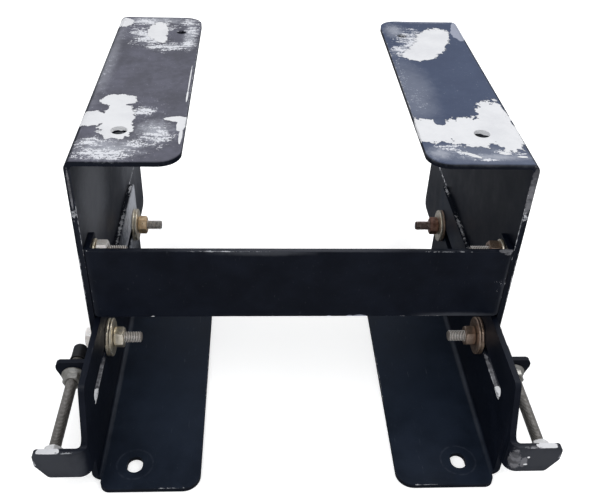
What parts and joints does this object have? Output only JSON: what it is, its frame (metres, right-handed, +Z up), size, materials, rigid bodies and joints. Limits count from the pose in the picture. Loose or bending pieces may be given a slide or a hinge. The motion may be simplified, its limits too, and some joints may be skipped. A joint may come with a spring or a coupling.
{
  "type": "sliding machine mount",
  "caption": "Adjustable slide base: bent-plate risers joined by a crossbar slide along slotted floor rails, are set by threaded studs at the front and clamped by through bolts.",
  "frame": {"origin": "centre of the footprint, on the floor under the rails", "axes": "+X to the right across the mount, +Y from the adjusting tabs at the front to the back, +Z up"},
  "size_m": [0.436, 0.41, 0.265],
  "materials": {
    "navy_powder_coat": "semi-gloss dark navy powder coat, worn to pale primer on the top flanges and edges",
    "dull_threaded_steel": "dull grey threaded steel",
    "bright_zinc": "pale matt zinc",
    "silver_thread": "silver plated steel",
    "yellow_zinc": "yellow passivated zinc, satin",
    "bronzed_zinc": "zinc aged to a golden brown",
    "rusted_steel": "light surface rust",
    "black_vinyl": "smooth soft vinyl"
  },
  "bodies": {
    "rails": {"left_rail": "navy_powder_coat", "left_stud": "dull_threaded_steel", "left_anchor_nut": "bright_zinc", "right_rail": "navy_powder_coat", "right_stud": "dull_threaded_steel", "right_anchor_nut": "bright_zinc", "left_stud_cap": "black_vinyl"},
    "carriage": {"left_riser": "navy_powder_coat", "clamp_bolt_left_front": "silver_thread", "clamp_head_washer_left_front": "yellow_zinc", "clamp_washer_left_front": "yellow_zinc", "clamp_top_washer_left_front": "yellow_zinc", "clamp_bolt_left_back": "silver_thread", "clamp_head_washer_left_back": "yellow_zinc", "clamp_washer_left_back": "yellow_zinc", "clamp_top_washer_left_back": "yellow_zinc", "crossbar_screw_left_upper": "silver_thread", "crossbar_washer_left_upper": "yellow_zinc", "crossbar_nut_left_upper": "silver_thread", "crossbar_screw_left_lower": "silver_thread", "crossbar_washer_left_lower": "yellow_zinc", "crossbar_nut_left_lower": "silver_thread", "right_riser": "navy_powder_coat", "clamp_bolt_right_front": "silver_thread", "clamp_head_washer_right_front": "yellow_zinc", "clamp_washer_right_front": "bronzed_zinc", "clamp_top_washer_right_front": "bronzed_zinc", "clamp_bolt_right_back": "rusted_steel", "clamp_head_washer_right_back": "yellow_zinc", "clamp_washer_right_back": "bronzed_zinc", "clamp_top_washer_right_back": "yellow_zinc", "crossbar_screw_right_upper": "silver_thread", "crossbar_washer_right_upper": "yellow_zinc", "crossbar_nut_right_upper": "bronzed_zinc", "crossbar_screw_right_lower": "silver_thread", "crossbar_washer_right_lower": "yellow_zinc", "crossbar_nut_right_lower": "bronzed_zinc", "crossbar": "navy_powder_coat"},
    "left_adjuster_nut_body": {"left_adjuster_nut": "dull_threaded_steel"},
    "right_adjuster_nut_body": {"right_adjuster_nut": "dull_threaded_steel"},
    "clamp_nut_left_front_body": {"clamp_nut_left_front": "yellow_zinc"},
    "clamp_nut_left_back_body": {"clamp_nut_left_back": "bronzed_zinc"},
    "clamp_nut_right_front_body": {"clamp_nut_right_front": "bronzed_zinc"},
    "clamp_nut_right_back_body": {"clamp_nut_right_back": "rusted_steel"}
  },
  "joints": [
    {"name": "carriage_slide", "type": "slide", "parent": "rails", "child": "carriage", "axis": [0, 1, 0], "range_m": [-0.068, 0.008]},
    {"name": "left_adjuster_spin", "type": "hinge", "parent": "carriage", "child": "left_adjuster_nut_body", "pos_m": [-0.203, -0.11, 0.0435], "axis": [0, 1, 0], "range_deg": [-16400, 2000]},
    {"name": "right_adjuster_spin", "type": "hinge", "parent": "carriage", "child": "right_adjuster_nut_body", "pos_m": [0.203, -0.11, 0.0435], "axis": [0, 1, 0], "range_deg": [-16400, 2000]},
    {"name": "left_front_clamp_nut_turn", "type": "hinge", "parent": "carriage", "child": "clamp_nut_left_front_body", "pos_m": [-0.16165, -0.084, 0.071], "axis": [1, 0, 0], "range_deg": [0, 360]},
    {"name": "left_back_clamp_nut_turn", "type": "hinge", "parent": "carriage", "child": "clamp_nut_left_back_body", "pos_m": [-0.16165, 0.096, 0.071], "axis": [1, 0, 0], "range_deg": [0, 360]},
    {"name": "right_front_clamp_nut_turn", "type": "hinge", "parent": "carriage", "child": "clamp_nut_right_front_body", "pos_m": [0.16165, -0.084, 0.071], "axis": [-1, 0, 0], "range_deg": [0, 360]},
    {"name": "right_back_clamp_nut_turn", "type": "hinge", "parent": "carriage", "child": "clamp_nut_right_back_body", "pos_m": [0.16165, 0.096, 0.071], "axis": [-1, 0, 0], "range_deg": [0, 360]}
  ],
  "couplings": [
    {"joint": "left_adjuster_spin", "follows": "carriage_slide", "rad_per_m": 4188.8},
    {"joint": "right_adjuster_spin", "follows": "carriage_slide", "rad_per_m": 4188.8}
  ]
}
